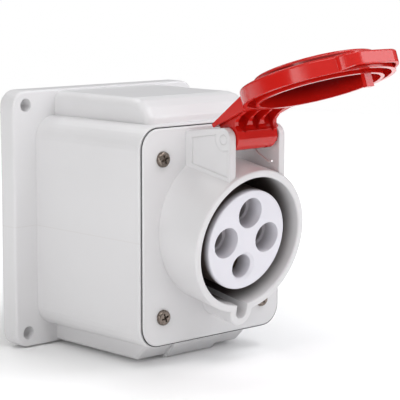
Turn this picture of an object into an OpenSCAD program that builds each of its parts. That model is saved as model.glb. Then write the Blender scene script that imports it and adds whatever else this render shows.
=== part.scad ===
// Surface-mounted four-pole industrial socket outlet with a sprung lid.
// Frame: the wall is the plane Y = 0, the socket faces -Y, +Z is up and
// the origin is the centre of the four fixing holes. Millimetres.

/* [Wall box] */
// Width of the wall flange
flange_w = 102.4; // [98:0.2:112]
// Height of the wall flange
flange_h = 110; // [110:0.5:124]
// Thickness of the wall flange
flange_t = 8.9; // [7:0.1:14]
// Corner radius of the wall flange
flange_r = 7; // [4:0.5:9]
// Distance of the fixing holes inboard of the middle of each side wing
fixing_shift = 0.75; // [0:0.05:1.5]
// Distance of the fixing holes from the top and bottom edges
fixing_inset = 6.2; // [5:0.1:9]
// Diameter of the fixing holes
fixing_d = 5.5; // [4:0.1:6.5]
// Distance from the wall to the front of the cover plate
box_depth = 76.5; // [72:0.5:95]
// Wall thickness of the box
box_wall = 3; // [2.4:0.1:3.2]
// Edge radius of the lip round the cover plate
lip_r = 1.8; // [1:0.1:2.4]
// Width of the entry bulges above and below
bulge_w = 58.4; // [52:0.2:62]
// Height of the entry bulges above and below the hole centre
bulge_reach = 54.1; // [53:0.1:54.8]
// Nose radius of the upper bulge
nose_r = 12; // [8:0.5:13]
// Width of the raised cable entry pad
pad_w = 27; // [24:0.5:34]
// Height of the raised cable entry pad
pad_t = 1.2; // [0.5:0.1:1.6]
// Diameter of the scored knock-out in the pad
knockout_d = 20.4; // [16:0.1:22]

/* [Cover plate] */
// Width of the cover plate
plate_w = 77.2; // [75:0.2:82]
// Height of the cover plate
plate_h = 88.5; // [86:0.5:96]
// Height of the plate centre relative to the origin
plate_z = -1.25; // [-2:0.05:0]
// Corner radius of the cover plate
plate_r = 8.5; // [6:0.5:10]
// Thickness of the cover plate
plate_t = 3.6; // [3:0.1:4.5]
// Gap between the cover plate and the box lip
seam = 0.3; // [0.2:0.05:0.5]
// Width of the box lip and side wall outside the seam
lip_w = 0.6; // [0.5:0.1:1.2]
// Thickness of the cover gasket
gasket_t = 1.5; // [1:0.1:2]
// Distance across between the cover screws
screw_dx = 56.2; // [54:0.2:57]
// Distance up between the cover screws
screw_dz = 64.4; // [62:0.2:68]
// Height of the cover screw centre relative to the plate centre
screw_shift = -0.4; // [-1:0.1:1]

/* [Collar] */
// Downward tilt of the socket axis in degrees
tilt = 10.3; // [8:0.1:12]
// Height where the socket axis leaves the plate
axis_z = 0.67; // [0:0.05:2]
// Length of the collar in front of the plate, along its axis
collar_len = 22.5; // [21:0.1:24]
// Inner radius of the collar
collar_ri = 27.1; // [26.8:0.05:27.6]
// Wall thickness of the collar
collar_wall = 3.06; // [2.6:0.02:3.4]
// Depth of the sleeve behind the plate, along its axis
sleeve_depth = 16.5; // [14:0.5:20]
// Half width of the keyway
key_r = 2.9; // [2.5:0.05:3.2]
// Distance of the keyway's round floor centre from the socket axis
key_offset = 30.1; // [29.6:0.05:30.6]
// Wall thickness of the keyway housing
key_wall = 3.1; // [2.6:0.1:3.6]

/* [Hinge] */
// Distance between the inner faces of the hinge ears
ear_gap = 24.4; // [23:0.1:26]
// Thickness of a hinge ear
ear_t = 3.2; // [2.8:0.1:4]
// Distance of the hinge pin in front of the plate
hinge_out = 21.8; // [21.4:0.1:22.4]
// Height of the hinge pin above the origin
hinge_z = 39.2; // [38.8:0.1:39.8]
// Radius of the hinge pin
pin_r = 2; // [1.6:0.1:2.1]
// Reach of the ears in front of the hinge pin
ear_nose = 3.8; // [3.4:0.1:4.6]
// Height of the ears above the hinge pin
ear_rise = 4.7; // [4.2:0.1:4.9]
// Radius of the ring round the pin on the outside of an ear
ear_ring_r = 4.6; // [4:0.1:4.8]
// Angle by which the lid stands open at rest, in degrees
lid_open = 119.4; // [100:0.1:119.6]

/* [Lid] */
// Outer radius of the lid rim
lid_r = 30.1; // [29.4:0.05:30.4]
// Gap between the closed lid rim and the collar
lid_gap = 0.2; // [0.15:0.05:0.4]
// Height of the lid rim
rim_h = 6.3; // [5.8:0.1:7.2]
// Wall thickness of the lid
lid_wall = 1.8; // [1.5:0.1:2]
// Outer radius of the inner skirt
skirt_r = 25.25; // [24.8:0.05:26]
// Wall thickness of the inner skirt
skirt_t = 1.5; // [1.2:0.1:1.8]
// Distance that the inner skirt reaches below the rim
skirt_drop = 0.9; // [0.4:0.1:1.4]
// Radius of the raised crown on the lid
crown_r = 23.9; // [22:0.1:26]
// Height of the raised crown on the lid
crown_h = 2.8; // [1.4:0.1:3.2]
// Distance of the grip edge from the lid centre
grip_reach = 32; // [31.8:0.1:35]
// Half width of the grip
grip_half = 16.1; // [13:0.1:19]
// Corner radius of the grip
grip_r = 8; // [5:0.1:9]
// Wall thickness of the grip
grip_wall = 1.2; // [1:0.1:1.5]
// Height by which the tip of the grip stands clear of the rim's lower edge
grip_rise = 1.3; // [0.5:0.1:2]
// Width of the latch nose
latch_w = 4; // [3.4:0.1:4.6]
// Distance that the latch nose reaches below the skirt
latch_len = 5.2; // [4:0.1:6.5]
// Half width of the hood over the hinge
hood_half = 14.2; // [13.4:0.1:15]
// Radius of the hinge barrel
barrel_r = 4.8; // [4.5:0.1:5]
// Clearance between the hinge knuckle and the ears, each side
barrel_gap = 0.4; // [0.2:0.05:0.8]

/* [Contacts] */
// Radius of the contact carrier
carrier_r = 21; // [20.6:0.05:21.2]
// Setback of the carrier face behind the collar edge
carrier_setback = 2.55; // [2:0.05:4]
// Distance of the contact centres from the socket axis
contact_pcr = 11.47; // [11.2:0.01:11.8]
// Bore radius of a phase contact
phase_bore = 2.5; // [2.4:0.05:2.6]
// Bore radius of the earth contact
earth_bore = 3.5; // [3.4:0.05:3.6]
// Wall thickness of a contact tube
contact_wall = 0.9; // [0.8:0.05:1]
// Radius of a phase mouth in the carrier face
mouth_r = 6.36; // [6.2:0.02:6.6]
// Depth of a phase mouth
mouth_depth = 7.5; // [5:0.1:9]
// Radius of a phase hole behind its mouth
phase_hole = 4.7; // [4.6:0.05:4.8]
// Radius of the earth hole
earth_hole = 5.04; // [4.95:0.01:5.4]

/* [Hidden] */

$fn = 96;
// facets of a rounded corner inside a hull
hull_fn = 32;
// overlap of pieces that are one moulding
bite = 0.5;

white = [0.88, 0.88, 0.86];
insert_grey = [0.83, 0.83, 0.84];
red = [0.78, 0.1, 0.08];
steel = [0.72, 0.7, 0.67];
brass = [0.83, 0.68, 0.35];
dark = [0.13, 0.13, 0.14];

// box body, worked out from the cover plate
body_w = plate_w + 2 * (seam + lip_w);
body_h = plate_h + 2 * (seam + lip_w);
body_r = plate_r + seam + lip_w;
// front edge of the box lip, a little behind the plate face
lip_setback = 0.5;
// edge radius of the wall flange
flange_edge = 1.2;
body_depth = box_depth - lip_setback;
cavity_w = body_w - 2 * box_wall;
cavity_h = body_h - 2 * box_wall;
cavity_r = body_r - box_wall;
fixing_dx = (body_w + flange_w) / 2 - 2 * fixing_shift;
fixing_dz = flange_h - 2 * fixing_inset;
// edge radii of the upper and lower bulge, and of the cable entry pad
upper_edge = 4;
lower_edge = 1.4;
pad_edge = 0.6;
// heights inside the box where the bulges end
upper_root = 20;
lower_root = -30;
// front of the upper bulge behind the plate
nose_setback = 6.5;
// where the lower bulge turns up into its slope, and how far that rises
bulge_toe = box_depth - 15.5;
slope_rise = 8;
// back edge and slope of the cable entry pad
pad_back = flange_t + 6;
pad_rise = 5.3;
// width and depth of the scored ring of the knock-out
score_w = 0.6;
score_t = 0.5;
// wall left round the fixing holes behind the side wings
fixing_wall = 3;
// gasket: inset from the plate's edge, and from the edge of its ledge
gasket_inset = 0.5;
gasket_lip = 0.2;
// ledge that carries the gasket and the plate
ledge_y = box_depth - plate_t - gasket_t;

collar_ro = collar_ri + collar_wall;
carrier_face = collar_len - carrier_setback;
key_ro = key_r + key_wall;

// the pin seen from the socket axis: along it and above it
pin_s = hinge_out * cos(tilt) - (hinge_z - axis_z) * sin(tilt);
pin_h = hinge_out * sin(tilt) + (hinge_z - axis_z) * cos(tilt);
// ends of the pin inside the outer faces of the ears
pin_inset = 0.2;
// turn of the rounded top front corner of an ear; the top edge falls off behind it
ear_top_turn = 82.5;
// sliding clearance of the pin and of the screws, radial
pin_clear = 0.04;
screw_clear = 0.1;
// clearance of the cover screws in the plate and of the carrier screws in the ring, radial
plate_clear = 0.35;
ring_clear = 0.2;
// clearance of the contacts in the insert and of its face in the ring, radial
tube_clear = 0.05;
seat_clear = 0.1;

// closed lid, along the socket axis
rim_s = collar_len + lid_gap;
lid_top = rim_s + rim_h;
skirt_s = rim_s - skirt_drop;
rim_edge = 1;
crown_edge = 1;
// fillet between the crown and the rim
crown_root = 0.5;
// bite of the grip and the hood into the rim
rim_bite = 0.6;
// where the grip's lower edge leaves the rim's, inside the rim's outer face
grip_root = 5;

// hinge knuckle: two side walls with the barrel between them
knuckle_w = ear_gap - 2 * barrel_gap;
knuckle_wall = 1.6;
knuckle_r = 3.4;
inner_half = knuckle_w / 2 - knuckle_wall;
// right end of the barrel, short of the right side wall's outer face
barrel_end = inner_half + 0.1;
barrel_edge = 1;
// hood: its outer face runs straight from the tail to the top of the rim (s, h)
hood_t = 1.5;
hood_tail = [pin_s + 7.8, pin_h + 5.8];
hood_root = [lid_top, lid_r - 3];
hood_along = (hood_root - hood_tail) / norm(hood_root - hood_tail);
hood_inward = [hood_along[1], -hood_along[0]];
// where the arm meets the rim's lower edge, clear of the collar (s, h)
arm_root = [rim_s, collar_ro + 0.4];
// reach of the arm inside the rim's outer face
rim_inside = 3;
// front edge of the knuckle below the pin, from the pin (s, h)
knuckle_edge = [[7, -7.3], [5.6, -4.9], [4.2, -4.3], [2.6, -4.8], [1.6, -5.3], [-1.6, -4.5]];
// web between the barrel and the hood, along the hood from its tail
web_u0 = 6.5;
web_u1 = 7.6;
// tapered pockets in front of the web: their lean, their tips across and up from the pin
pocket_lean = 19;
pocket_len = 6;
pocket_tips = [[-7.8, 2.6], [0, 3.4], [7.8, 2.4]];
rib_x = 3.5;
rib_t = 1.4;

// torsion spring round the pin: mean radius, wire radius, place across, turns
spring_r = 2.7;
wire_r = 0.45;
spring_x0 = 6.2;
spring_x1 = 9.5;
spring_turns = 3;
// slot that the fixed leg sweeps through, in degrees round the pin (s, h)
fixed_slot = [59, 200];
// bore of the barrel round the spring and width of the slots for its legs
spring_bore = spring_r + wire_r + 0.3;
slot_w = 2 * wire_r + 0.5;
// fixed leg, from its tip: (forward, up) from the pin
fixed_leg = [[5.7, -9.6], [4.1, -10.1], [-2.6, -6.9], [-5.6, -3.4], [-5.5, 0.5]];

// contact angles on the carrier, counter-clockwise from the right
phase_angles = [90, 180, 0];
earth_angle = 270;
phase_ro = phase_bore + contact_wall;
earth_ro = earth_bore + contact_wall;
terminal_r = 4.8;
// front ends of the contact tubes, in front of the plate
phase_front = 5;
earth_front = 12;
// radius of the hole for the supply wire
wire_hole = 1.9;
wire_depth = 8;
// length of the round bore of a contact
bore_len = 25;
// spring rings on the contacts: length, place behind the contact's front, slit, thickness
clip_len = 5;
clip_setback = 9;
clip_gap = 1.2;
phase_clip_t = 0.6;
earth_clip_t = 0.45;

// carrier flange and terminal block behind the sleeve
flange_back_t = 3.5;
carrier_back = sleeve_depth + flange_back_t;
carrier_edge = 0.6;
// bevel of the earth hole's mouth
earth_bevel = 1.1;
// the ring stays inside the outline of the sleeve
ring_inset = 0.6;
// depth behind the plate where the wide socket holes end
socket_floor = 12;
block_t = 13;
block_r = 24;
lug_x = 31.9;
lug_r = 3.2;
lug_len = 9;
// blind end left under a carrier screw
lug_spare = 1.5;
carrier_screw_r = 1.4;

// cover screws
cover_screw_r = 1.75;
cover_head_r = 3.2;
cover_head_h = 1.7;
cover_screw_len = 14;
boss_r = 4.4;
// the bosses end a little behind the plate's ledge
boss_setback = 0.3;
insert_ro = 2.9;
insert_len = 8;
insert_clear = 0.02;

// screws behind the socket
carrier_head_r = 2.6;
carrier_head_h = 1.8;
block_screw_r = 1.75;
block_head_r = 3;
block_head_h = 2;
block_thread = 10;
grub_r = 1.7;
grub_len = 6;
grub_out = 2.6;
grub_depth = 4.5;
grub_hole_r = 2.2;

// ---------------------------------------------------------------- helpers

// points of an arc, from angle a0 to a1
function arc(cx, cy, r, a0, a1, n = 8) =
    [for (i = [0:n]) let (a = a0 + (a1 - a0) * i / n) [cx + r * cos(a), cy + r * sin(a)]];

// outline with rounded corners
module rounded_rect(w, h, r) {
    square([w - 2 * r, h], center = true);
    square([w, h - 2 * r], center = true);
    for (x = [-1, 1], y = [-1, 1])
        translate([x * (w / 2 - r), y * (h / 2 - r)]) circle(r = r);
}

// slab with rounded corners and a rounded front edge
module soft_slab(w, h, r, t, edge) {
    hull()
        for (x = [-1, 1], y = [-1, 1])
            translate([x * (w / 2 - r), y * (h / 2 - r), 0])
                rotate_extrude($fn = hull_fn)
                    polygon(concat([[0, 0], [r, 0]], arc(r - edge, t - edge, edge, 0, 90, 4), [[0, t]]));
}

// children drawn flat, X across and Y up, grow out of the wall towards -Y
module from_wall(out = 0) {
    rotate([90, 0, 0]) translate([0, 0, out]) children();
}

// outline in (distance from wall, height), extruded across
module side_profile(w) {
    rotate([90, 0, -90]) linear_extrude(w, center = true) children();
}

// socket frame: Z along the socket axis out of the plate, Y up, X across
module on_axis(s = 0) {
    translate([0, -box_depth, axis_z]) rotate([90 + tilt, 0, 0]) translate([0, 0, s]) children();
}

// outline in (distance along the socket axis, height above it), extruded across
module axis_profile(w) {
    rotate([0, -90, 0]) linear_extrude(w, center = true) children();
}

// turns the lid from closed to its place at rest
module lid_at_rest() {
    translate([0, -box_depth - hinge_out, hinge_z])
        rotate([-lid_open, 0, 0])
            translate([0, box_depth + hinge_out, -hinge_z])
                children();
}

// point of the arm: u along the hood from its tail, d inwards from its face (s, h)
function on_arm(u, d) = hood_tail + u * hood_along + d * hood_inward;

module at_fixing_holes()
    for (x = [-1, 1], z = [-1, 1]) translate([x * fixing_dx / 2, z * fixing_dz / 2]) children();

module at_cover_screws()
    for (x = [-1, 1], z = [-1, 1])
        translate([x * screw_dx / 2, plate_z + screw_shift + z * screw_dz / 2]) children();

module at_contact(angle) rotate(angle) translate([contact_pcr, 0]) rotate(-angle) children();

// ---------------------------------------------------------------- wall box

// upper bulge: flat top, round nose and soft side edges
module upper_bulge(shrink) {
    r = upper_edge - min(shrink, upper_edge - 1);
    top = bulge_reach - upper_edge;
    nose_y = box_depth - nose_r - nose_setback;
    x = bulge_w / 2 - upper_edge;
    start = shrink > 0 ? box_wall : 0;
    hull()
        for (side = [-1, 1]) {
            from_wall(start) translate([side * x, top]) cylinder(r = r, h = 1, $fn = hull_fn);
            for (p = arc(nose_y, top - nose_r + upper_edge, nose_r - upper_edge, 90, 0, 4))
                translate([side * x, -p[0], p[1]]) sphere(r = r, $fn = hull_fn);
            translate([side * x, -nose_y, upper_root]) sphere(r = r, $fn = hull_fn);
            from_wall(start) translate([side * x, upper_root]) cylinder(r = r, h = 1, $fn = hull_fn);
        }
}

// block under the box with a flat underside, a 45 degree slope at its front and soft edges
module sloped_block(w, back, low, toe, rise, edge) {
    // the slope's inner line is this much further back than its edge
    inset = edge * (sqrt(2) - 1);
    hull()
        for (side = [-1, 1]) {
            for (p = [[toe, low + edge], [toe + rise, low + rise + edge], [toe + rise, lower_root]])
                translate([side * (w / 2 - edge), inset - p[0], p[1]]) sphere(r = edge, $fn = hull_fn);
            for (z = [low + edge, lower_root])
                from_wall(back) translate([side * (w / 2 - edge), z])
                    cylinder(r = edge, h = 1, $fn = hull_fn);
        }
}

module lower_bulge() sloped_block(bulge_w, 0, -bulge_reach, bulge_toe, slope_rise, lower_edge);

module lower_hollow()
    sloped_block(bulge_w - 2 * box_wall, box_wall, -bulge_reach + box_wall,
                 bulge_toe - box_wall * tan(22.5), slope_rise, pad_edge);

module entry_pad()
    sloped_block(pad_w, pad_back, -bulge_reach - pad_t, bulge_toe + pad_t * tan(22.5), pad_rise, pad_edge);

module wall_box() color(white) {
    difference() {
        union() {
            from_wall() soft_slab(flange_w, flange_h, flange_r, flange_t, flange_edge);
            from_wall() translate([0, plate_z]) soft_slab(body_w, body_h, body_r, body_depth, lip_r);
            upper_bulge(0);
            lower_bulge();
            entry_pad();
        }
        // wiring space and the rebate for the cover plate
        from_wall(box_wall) translate([0, plate_z])
            linear_extrude(body_depth) rounded_rect(cavity_w, cavity_h, cavity_r);
        from_wall(ledge_y) translate([0, plate_z])
            linear_extrude(body_depth) rounded_rect(plate_w + 2 * seam, plate_h + 2 * seam, plate_r + seam);
        upper_bulge(box_wall);
        lower_hollow();
        // hollow flange behind the side wings
        from_wall() translate([0, 0, -1]) linear_extrude(flange_t - box_wall + 1) wing_pockets();
        // fixing holes
        from_wall() at_fixing_holes() translate([0, 0, -1]) cylinder(d = fixing_d, h = flange_t + 2);
        // scored ring of the knock-out
        translate([0, -(pad_back + bulge_toe) / 2, -bulge_reach - pad_t])
            difference() {
                cylinder(d = knockout_d + 2 * score_w, h = 2 * score_t, center = true);
                cylinder(d = knockout_d, h = 4 * score_t, center = true);
            }
    }
    // bosses for the cover screws
    difference() {
        from_wall(box_wall - bite) at_cover_screws()
            cylinder(r = boss_r, h = ledge_y - box_wall + bite - boss_setback);
        from_wall(ledge_y - 2 * insert_len) at_cover_screws()
            cylinder(r = insert_ro + insert_clear, h = 3 * insert_len);
    }
}

module wing_pockets() {
    difference() {
        rounded_rect(flange_w - 2 * box_wall, flange_h - 2 * box_wall, flange_r - box_wall);
        translate([0, plate_z]) rounded_rect(body_w, body_h, body_r);
        square([bulge_w, flange_h], center = true);
        at_fixing_holes() circle(d = fixing_d + 2 * fixing_wall);
    }
}

module box_gasket() color(dark)
    from_wall(ledge_y) translate([0, plate_z]) linear_extrude(gasket_t)
        difference() {
            rounded_rect(plate_w - 2 * gasket_inset, plate_h - 2 * gasket_inset, plate_r - gasket_inset);
            rounded_rect(cavity_w + 2 * gasket_lip, cavity_h + 2 * gasket_lip, cavity_r + gasket_lip);
        }

// ---------------------------------------------------------------- front plate

// tube along the socket axis with a rounded mouth
module soft_tube(ri, ro, e = 0.7)
    rotate_extrude()
        polygon(concat(
            [[ri, -sleeve_depth], [ro, -sleeve_depth]],
            arc(ro - e, collar_len - e, e, 0, 90, 4),
            ri > 0 ? arc(ri + e, collar_len - e, e, 90, 180, 4) : [[0, collar_len]]));

module keyway_cut()
    on_axis(-sleeve_depth - 1) {
        translate([0, -key_offset]) cylinder(r = key_r, h = sleeve_depth + collar_len + 2);
        translate([-key_r, -key_offset, 0])
            cube([2 * key_r, key_offset - collar_ri + key_r, sleeve_depth + collar_len + 2]);
    }

module ear_outline() {
    corner = ear_rise;
    out = box_depth + hinge_out + ear_nose;
    top = hinge_z + ear_rise;
    back = box_depth - plate_t / 2;
    // height of the collar wall at the inner face of an ear
    h_in = sqrt(collar_ri * collar_ri - ear_gap * ear_gap / 4) + 0.6;
    z_at = function(y) axis_z + h_in / cos(tilt) - (y - box_depth) * tan(tilt);
    polygon(concat(
        [[back, z_at(back)], [out, z_at(out)]],
        arc(out - corner, top - corner, corner, 0, ear_top_turn, 6),
        [[back, top - (out - corner - back) * tan(90 - ear_top_turn)]]));
}

// sunk panel on the outer face of an ear, left proud round the pin
module ear_panel() {
    difference() {
        root = box_depth + 3.6;
        out = box_depth + hinge_out + ear_nose - 1.4;
        polygon([[root, hinge_z - 0.5], [root, hinge_z - 10.9], [out, hinge_z - 14.9],
                 [out, hinge_z + 1.6], [out - 5.2, hinge_z + ear_rise - 2.8]]);
        translate([box_depth + hinge_out, hinge_z]) circle(r = ear_ring_r);
    }
}

module ears() {
    panel_t = 0.45;
    for (side = [-1, 1])
        difference() {
            translate([side * (ear_gap + ear_t) / 2, 0, 0]) side_profile(ear_t) ear_outline();
            translate([side * (ear_gap / 2 + ear_t), 0, 0]) side_profile(2 * panel_t) ear_panel();
        }
}

module front_plate() color(white) {
    difference() {
        union() {
            from_wall(box_depth - plate_t) translate([0, plate_z])
                soft_slab(plate_w, plate_h, plate_r, plate_t, 0.8);
            on_axis() soft_tube(collar_ri, collar_ro);
            on_axis() translate([0, -key_offset]) soft_tube(0, key_ro);
            ears();
            // lugs for the carrier screws
            for (x = [-1, 1])
                on_axis(-sleeve_depth) translate([x * lug_x, 0]) cylinder(r = lug_r, h = sleeve_depth - 1);
        }
        on_axis(-sleeve_depth - 1) cylinder(r = collar_ri, h = sleeve_depth + collar_len + 2);
        keyway_cut();
        from_wall(box_depth - plate_t - 1) at_cover_screws()
            cylinder(r = cover_screw_r + plate_clear, h = plate_t + 2);
        for (x = [-1, 1])
            on_axis(-sleeve_depth - 1) translate([x * lug_x, 0])
                cylinder(r = carrier_screw_r, h = lug_len + 1);
        // pin hole through both ears
        translate([0, -box_depth - hinge_out, hinge_z]) rotate([0, 90, 0])
            cylinder(r = pin_r + pin_clear / 2, h = ear_gap + 2 * ear_t + 2, center = true);
    }
}

// ---------------------------------------------------------------- fasteners

// pan head with a cross recess; the shank points down
module pan_screw(r, head_r, head_h, len) {
    difference() {
        union() {
            rotate_extrude()
                polygon(concat([[0, 0], [head_r, 0], [head_r, head_h * 0.35]],
                               arc(head_r - head_h * 0.65, head_h * 0.35, head_h * 0.65, 0, 90, 5),
                               [[0, head_h]]));
            translate([0, 0, -len]) cylinder(r = r, h = len + 0.1);
        }
        for (a = [0, 90]) rotate(a)
            translate([0, 0, head_h]) cube([head_r * 1.15, head_r * 0.26, head_h * 1.2], center = true);
    }
}

module cover_screws() color(steel)
    from_wall(box_depth) at_cover_screws()
        pan_screw(cover_screw_r, cover_head_r, cover_head_h, cover_screw_len);

module threaded_inserts() color(brass)
    from_wall(ledge_y - insert_len - boss_setback) at_cover_screws()
        difference() {
            cylinder(r = insert_ro, h = insert_len);
            translate([0, 0, -1]) cylinder(r = cover_screw_r + screw_clear, h = insert_len + 2);
        }

module carrier_screws() color(steel)
    for (x = [-1, 1])
        on_axis(-carrier_back) translate([x * lug_x, 0]) mirror([0, 0, 1])
            pan_screw(carrier_screw_r - tube_clear, carrier_head_r, carrier_head_h,
                      flange_back_t + lug_len - lug_spare);

module block_screw() color(steel)
    on_axis(-carrier_back - block_t) mirror([0, 0, 1])
        pan_screw(block_screw_r, block_head_r, block_head_h, block_t + block_thread);

module terminal_screws() color(steel)
    for (a = concat(phase_angles, [earth_angle]))
        on_axis(-carrier_back - block_t + grub_depth) rotate(a)
            translate([contact_pcr + grub_out, 0]) rotate([0, 90, 0]) cylinder(r = grub_r, h = grub_len);

// ---------------------------------------------------------------- contacts

module contact_carrier() color(insert_grey)
    on_axis()
        difference() {
            rotate_extrude()
                polygon(concat([[0, -carrier_back], [carrier_r, -carrier_back]],
                               arc(carrier_r - carrier_edge, carrier_face - carrier_edge,
                                   carrier_edge, 0, 90, 4),
                               [[0, carrier_face]]));
            for (a = phase_angles) at_contact(a) {
                translate([0, 0, carrier_face - mouth_depth]) cylinder(r = mouth_r, h = mouth_depth + 1);
                translate([0, 0, -socket_floor]) cylinder(r = phase_hole, h = carrier_face + socket_floor);
                translate([0, 0, -carrier_back - 1]) cylinder(r = phase_ro + tube_clear, h = carrier_back);
            }
            at_contact(earth_angle) {
                translate([0, 0, -socket_floor])
                    cylinder(r = earth_hole, h = carrier_face + socket_floor + 1);
                translate([0, 0, carrier_face - earth_bevel])
                    cylinder(r1 = earth_hole, r2 = mouth_r, h = earth_bevel + 0.1);
                translate([0, 0, -carrier_back - 1]) cylinder(r = earth_ro + tube_clear, h = carrier_back);
            }
            translate([0, 0, -carrier_back - 1])
                cylinder(r = block_screw_r + tube_clear, h = block_thread + 1);
        }

// ring that clamps the carrier's block to the sleeve and closes the gap round the insert
module carrier_ring() color(dark)
    on_axis(-carrier_back)
        difference() {
            union() {
                cylinder(r = collar_ro - ring_inset, h = flange_back_t);
                for (x = [-1, 1]) translate([x * lug_x, 0, 0]) cylinder(r = lug_r, h = flange_back_t);
            }
            translate([0, 0, -1]) cylinder(r = carrier_r + seat_clear, h = flange_back_t + 2);
            for (x = [-1, 1])
                translate([x * lug_x, 0, -1])
                    cylinder(r = carrier_screw_r + ring_clear, h = flange_back_t + 2);
        }

module terminal_block() color(insert_grey)
    on_axis(-carrier_back - block_t)
        difference() {
            cylinder(r = block_r, h = block_t);
            for (a = concat(phase_angles, [earth_angle])) {
                at_contact(a) translate([0, 0, -1]) cylinder(r = terminal_r + seat_clear, h = block_t + 2);
                rotate(a) translate([contact_pcr + grub_out, 0, grub_depth]) rotate([0, 90, 0])
                    cylinder(r = grub_hole_r, h = block_r);
            }
            translate([0, 0, -1]) cylinder(r = block_screw_r + screw_clear, h = block_t + 2);
        }

// turned contact: tube at the front, wire terminal at the back
module contact(angle, bore, front) {
    ro = bore + contact_wall;
    back = -carrier_back - block_t + 0.5;
    shoulder = -carrier_back - 0.1;
    on_axis() at_contact(angle)
        difference() {
            union() {
                translate([0, 0, back]) cylinder(r = terminal_r, h = shoulder - back);
                translate([0, 0, shoulder - 0.1]) cylinder(r = ro, h = front - shoulder + 0.1);
            }
            translate([0, 0, front - bore_len]) cylinder(r = bore, h = bore_len + 1);
            translate([0, 0, back - 1]) cylinder(r = wire_hole, h = wire_depth + 1);
            rotate(angle) translate([0, 0, -carrier_back - block_t + grub_depth]) rotate([0, 90, 0])
                cylinder(r = grub_r + tube_clear, h = 2 * terminal_r);
        }
}

module contact_l1() color(brass) contact(phase_angles[0], phase_bore, phase_front);
module contact_l2() color(brass) contact(phase_angles[1], phase_bore, phase_front);
module contact_l3() color(brass) contact(phase_angles[2], phase_bore, phase_front);
module contact_earth() color(brass) contact(earth_angle, earth_bore, earth_front);

// open spring ring that closes the tines of a contact
module clip(angle, bore, front, wire) {
    ro = bore + contact_wall;
    on_axis(front - clip_setback) at_contact(angle)
        difference() {
            cylinder(r = ro + tube_clear + wire, h = clip_len);
            translate([0, 0, -1]) cylinder(r = ro + tube_clear, h = clip_len + 2);
            translate([0, -clip_gap / 2, -1]) cube([2 * ro, clip_gap, clip_len + 2]);
        }
}

module clip_l1() color(steel) clip(phase_angles[0], phase_bore, phase_front, phase_clip_t);
module clip_l2() color(steel) clip(phase_angles[1], phase_bore, phase_front, phase_clip_t);
module clip_l3() color(steel) clip(phase_angles[2], phase_bore, phase_front, phase_clip_t);
module clip_earth() color(steel) clip(earth_angle, earth_bore, earth_front, earth_clip_t);

// ---------------------------------------------------------------- lid

module hinge_pin() color(steel)
    translate([0, -box_depth - hinge_out, hinge_z]) rotate([0, 90, 0])
        cylinder(r = pin_r, h = ear_gap + 2 * ear_t - 2 * pin_inset, center = true);

// section of the round part of the lid: rim, crown and inner skirt (radius, s)
module lid_section() {
    ceiling = lid_top + crown_h - lid_wall;
    polygon(concat(
        [[0, lid_top + crown_h]],
        arc(crown_r - crown_edge, lid_top + crown_h - crown_edge, crown_edge, 90, 0, 4),
        arc(crown_r + crown_root, lid_top + crown_root, crown_root, 180, 270, 3),
        arc(lid_r - rim_edge, lid_top - rim_edge, rim_edge, 90, 0, 4),
        [[lid_r, rim_s], [lid_r - lid_wall, rim_s], [lid_r - lid_wall, lid_top - lid_wall],
         [skirt_r, lid_top - lid_wall], [skirt_r, skirt_s], [skirt_r - skirt_t, skirt_s],
         [skirt_r - skirt_t, ceiling], [0, ceiling]]));
}

module grip_outline(inset) {
    x = grip_half - grip_r;
    y = grip_reach - grip_r;
    r = grip_r - inset;
    for (side = [-1, 1]) translate([side * x, -y]) circle(r = r);
    translate([-x, -y - r]) square([2 * x, y]);
    translate([-x - r, -y]) square([2 * (x + r), y - r]);
}

// slab of the grip, with the rounded top edge of the rim
module grip_slab()
    translate([0, 0, rim_s])
        hull()
            for (side = [-1, 1], y = [grip_reach - grip_r, grip_r])
                translate([side * (grip_half - grip_r), -y])
                    rotate_extrude($fn = 2 * hull_fn)
                        polygon(concat([[0, 0], [grip_r, 0]],
                                       arc(grip_r - rim_edge, rim_h - rim_edge, rim_edge, 0, 90, 4),
                                       [[0, rim_h]]));

// room of the round part of the lid, into which the grip and the arm bite a little
module clear_of_lid() cylinder(r = lid_r - rim_bite, h = 2 * lid_top);

// hollow finger grip on the rim; its lower edge rises towards the tip
module lid_grip()
    difference() {
        grip_slab();
        translate([0, 0, rim_s - 1]) linear_extrude(rim_h - lid_wall + 1) grip_outline(grip_wall);
        clear_of_lid();
        axis_profile(4 * grip_half)
            polygon([[0, -grip_half], [rim_s, grip_root - lid_r], [rim_s + grip_rise, -grip_reach],
                     [rim_s + grip_rise, -2 * grip_reach], [0, -2 * grip_reach]]);
    }

// hood over the hinge: a flat plate with side flanges that widen towards the rim
module hood_outline()
    polygon([hood_tail, hood_root, [lid_top - rim_edge, lid_r - 2 * rim_inside],
             [rim_s, lid_r - 2 * rim_inside], arm_root, on_arm(0, hood_t)]);

module lid_hood()
    difference() {
        axis_profile(2 * hood_half) hood_outline();
        axis_profile(2 * (hood_half - knuckle_wall))
            polygon([on_arm(hood_t, hood_t), on_arm(norm(hood_root - hood_tail) - 1, hood_t),
                     [rim_s, lid_r - 1], [0, lid_r - 1], [0, 2 * pin_h], on_arm(hood_t, 3 * hood_t)]);
        clear_of_lid();
    }

// side walls and ribs run from the pin to the rim (s, h)
function knuckle_front() = [for (p = knuckle_edge) [pin_s + p[0], pin_h + p[1]]];

module knuckle_side_outline() {
    polygon(concat(
        [on_arm(hood_t, hood_t / 2), hood_root, [lid_top - rim_edge, lid_r - 2 * rim_inside],
         [rim_s, lid_r - 2 * rim_inside], arm_root],
        [for (i = [0:3]) knuckle_front()[i]],
        [[pin_s, pin_h], [pin_s - knuckle_r / 2, pin_h + knuckle_r * 0.8]]));
    translate([pin_s, pin_h]) circle(r = knuckle_r);
}

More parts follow.
